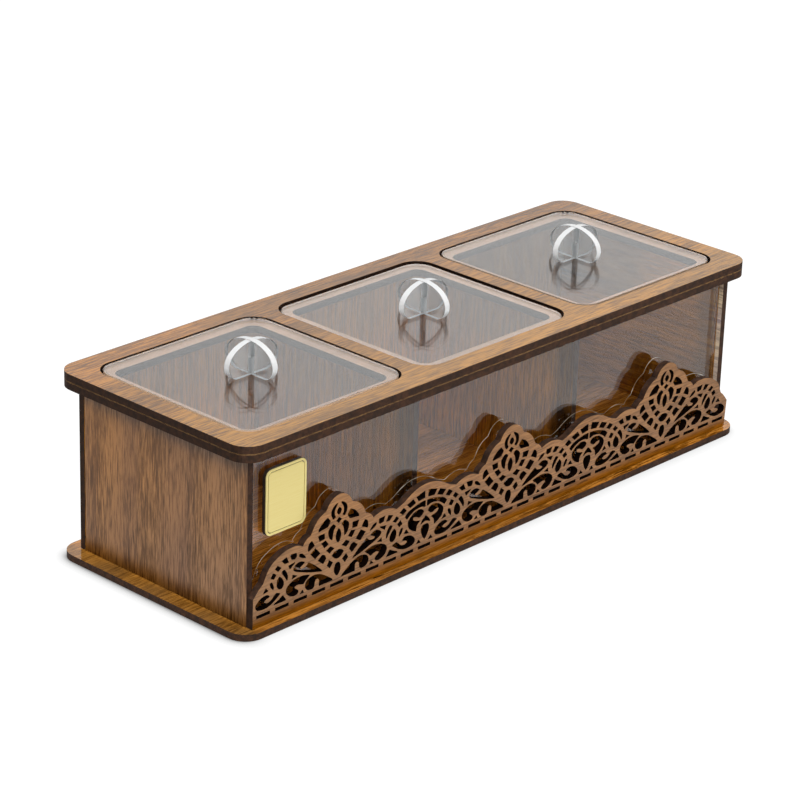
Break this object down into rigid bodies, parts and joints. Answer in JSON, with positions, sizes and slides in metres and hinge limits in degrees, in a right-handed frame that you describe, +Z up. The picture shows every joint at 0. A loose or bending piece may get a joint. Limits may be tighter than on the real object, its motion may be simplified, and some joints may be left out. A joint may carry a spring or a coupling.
{
  "type": "dried fruit box",
  "caption": "Long walnut box for dried fruit with separate compartments, clear lift-off lids with crossed-plate knobs, a clear front window and a cut lace panel.",
  "frame": {"origin": "centre of the base plate's underside", "axes": "+X along the length, to the right seen from the front; the front with the window faces -Y; +Z up"},
  "size_m": [0.3, 0.1074, 0.0938],
  "materials": {
    "walnut_laminate": "walnut-faced board, semi-gloss, with dark laser-cut edges",
    "clear_acrylic": "clear, polished",
    "gold_acrylic": "gold, satin"
  },
  "bodies": {
    "box": {"base_plate": "walnut_laminate", "left_side_panel": "walnut_laminate", "right_side_panel": "walnut_laminate", "back_panel": "walnut_laminate", "divider_left": "walnut_laminate", "divider_right": "walnut_laminate", "front_window": "clear_acrylic", "top_frame_lower": "walnut_laminate", "top_frame_upper": "walnut_laminate", "lace_panel": "walnut_laminate", "plaque": "gold_acrylic"},
    "left_lid": {"lid_left": "clear_acrylic", "knob_plate_long_left": "clear_acrylic", "knob_plate_cross_left": "clear_acrylic"},
    "middle_lid": {"lid_middle": "clear_acrylic", "knob_plate_long_middle": "clear_acrylic", "knob_plate_cross_middle": "clear_acrylic"},
    "right_lid": {"lid_right": "clear_acrylic", "knob_plate_long_right": "clear_acrylic", "knob_plate_cross_right": "clear_acrylic"}
  },
  "joints": [
    {"name": "left_lid_lift", "type": "slide", "parent": "box", "child": "left_lid", "axis": [0, 0, 1], "range_m": [0, 0.06]},
    {"name": "middle_lid_lift", "type": "slide", "parent": "box", "child": "middle_lid", "axis": [0, 0, 1], "range_m": [0, 0.06]},
    {"name": "right_lid_lift", "type": "slide", "parent": "box", "child": "right_lid", "axis": [0, 0, 1], "range_m": [0, 0.06]}
  ]
}
